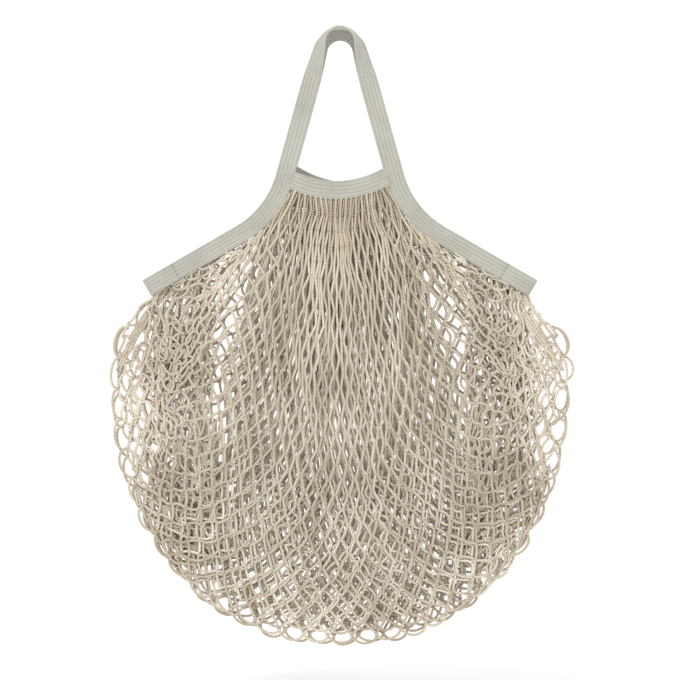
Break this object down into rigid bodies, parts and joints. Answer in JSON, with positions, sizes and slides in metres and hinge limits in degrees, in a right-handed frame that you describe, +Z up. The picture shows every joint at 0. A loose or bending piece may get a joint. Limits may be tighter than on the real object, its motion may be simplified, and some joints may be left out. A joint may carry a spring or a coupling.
{
  "type": "mesh produce bag",
  "caption": "Cotton net bag with bound shoulders, gathered neck bands and two short tape handles, hanging upright, for carrying fruit and vegetables.",
  "frame": {"origin": "hang point: on the centre line, level with the underside of the rear handle's apex, midway between the two handles", "axes": "+X to the bag's right as seen from the front, +Y to the rear, +Z up"},
  "size_m": [0.3834, 0.0352, 0.5136],
  "materials": {
    "net_yarn": "soft knitted cotton yarn, unbleached",
    "cotton_tape": "flat cotton twill tape, unbleached",
    "sewing_thread": "spun cotton sewing thread"
  },
  "bodies": {
    "bag_body": {"net_front_panel": "net_yarn", "net_rear_panel": "net_yarn", "net_left_fold": "net_yarn", "net_right_fold": "net_yarn", "net_bottom_fold": "net_yarn", "tip_fold_left": "cotton_tape", "tip_fold_right": "cotton_tape", "tip_stitching_left": "sewing_thread", "tip_stitching_right": "sewing_thread"},
    "front_mouth": {"net_front_yoke": "net_yarn", "neck_band_front": "cotton_tape", "neck_stitching_front": "sewing_thread", "shoulder_front_left": "cotton_tape", "shoulder_front_right": "cotton_tape", "shoulder_stitching_front_left": "sewing_thread", "shoulder_stitching_front_right": "sewing_thread", "bar_tack_front_left": "sewing_thread", "bar_tack_front_right": "sewing_thread"},
    "rear_mouth": {"net_rear_yoke": "net_yarn", "neck_band_rear": "cotton_tape", "neck_stitching_rear": "sewing_thread", "shoulder_rear_left": "cotton_tape", "shoulder_rear_right": "cotton_tape", "shoulder_stitching_rear_left": "sewing_thread", "shoulder_stitching_rear_right": "sewing_thread", "bar_tack_rear_left": "sewing_thread", "bar_tack_rear_right": "sewing_thread"},
    "front_handle": {"handle_front": "cotton_tape", "handle_stitching_front": "sewing_thread"},
    "rear_handle": {"handle_rear": "cotton_tape", "handle_stitching_rear": "sewing_thread"}
  },
  "joints": [
    {"name": "front_mouth_open", "type": "hinge", "parent": "bag_body", "child": "front_mouth", "pos_m": [0, -0.015, -0.199], "axis": [1, 0, 0], "range_deg": [0, 35]},
    {"name": "rear_mouth_open", "type": "hinge", "parent": "bag_body", "child": "rear_mouth", "pos_m": [0, 0.015, -0.199], "axis": [1, 0, 0], "range_deg": [-35, 0]},
    {"name": "front_handle_fold", "type": "hinge", "parent": "front_mouth", "child": "front_handle", "pos_m": [0, -0.0106, -0.108], "axis": [1, 0, 0], "range_deg": [0, 160]},
    {"name": "rear_handle_fold", "type": "hinge", "parent": "rear_mouth", "child": "rear_handle", "pos_m": [0, 0.0106, -0.108], "axis": [1, 0, 0], "range_deg": [-160, 0]}
  ]
}
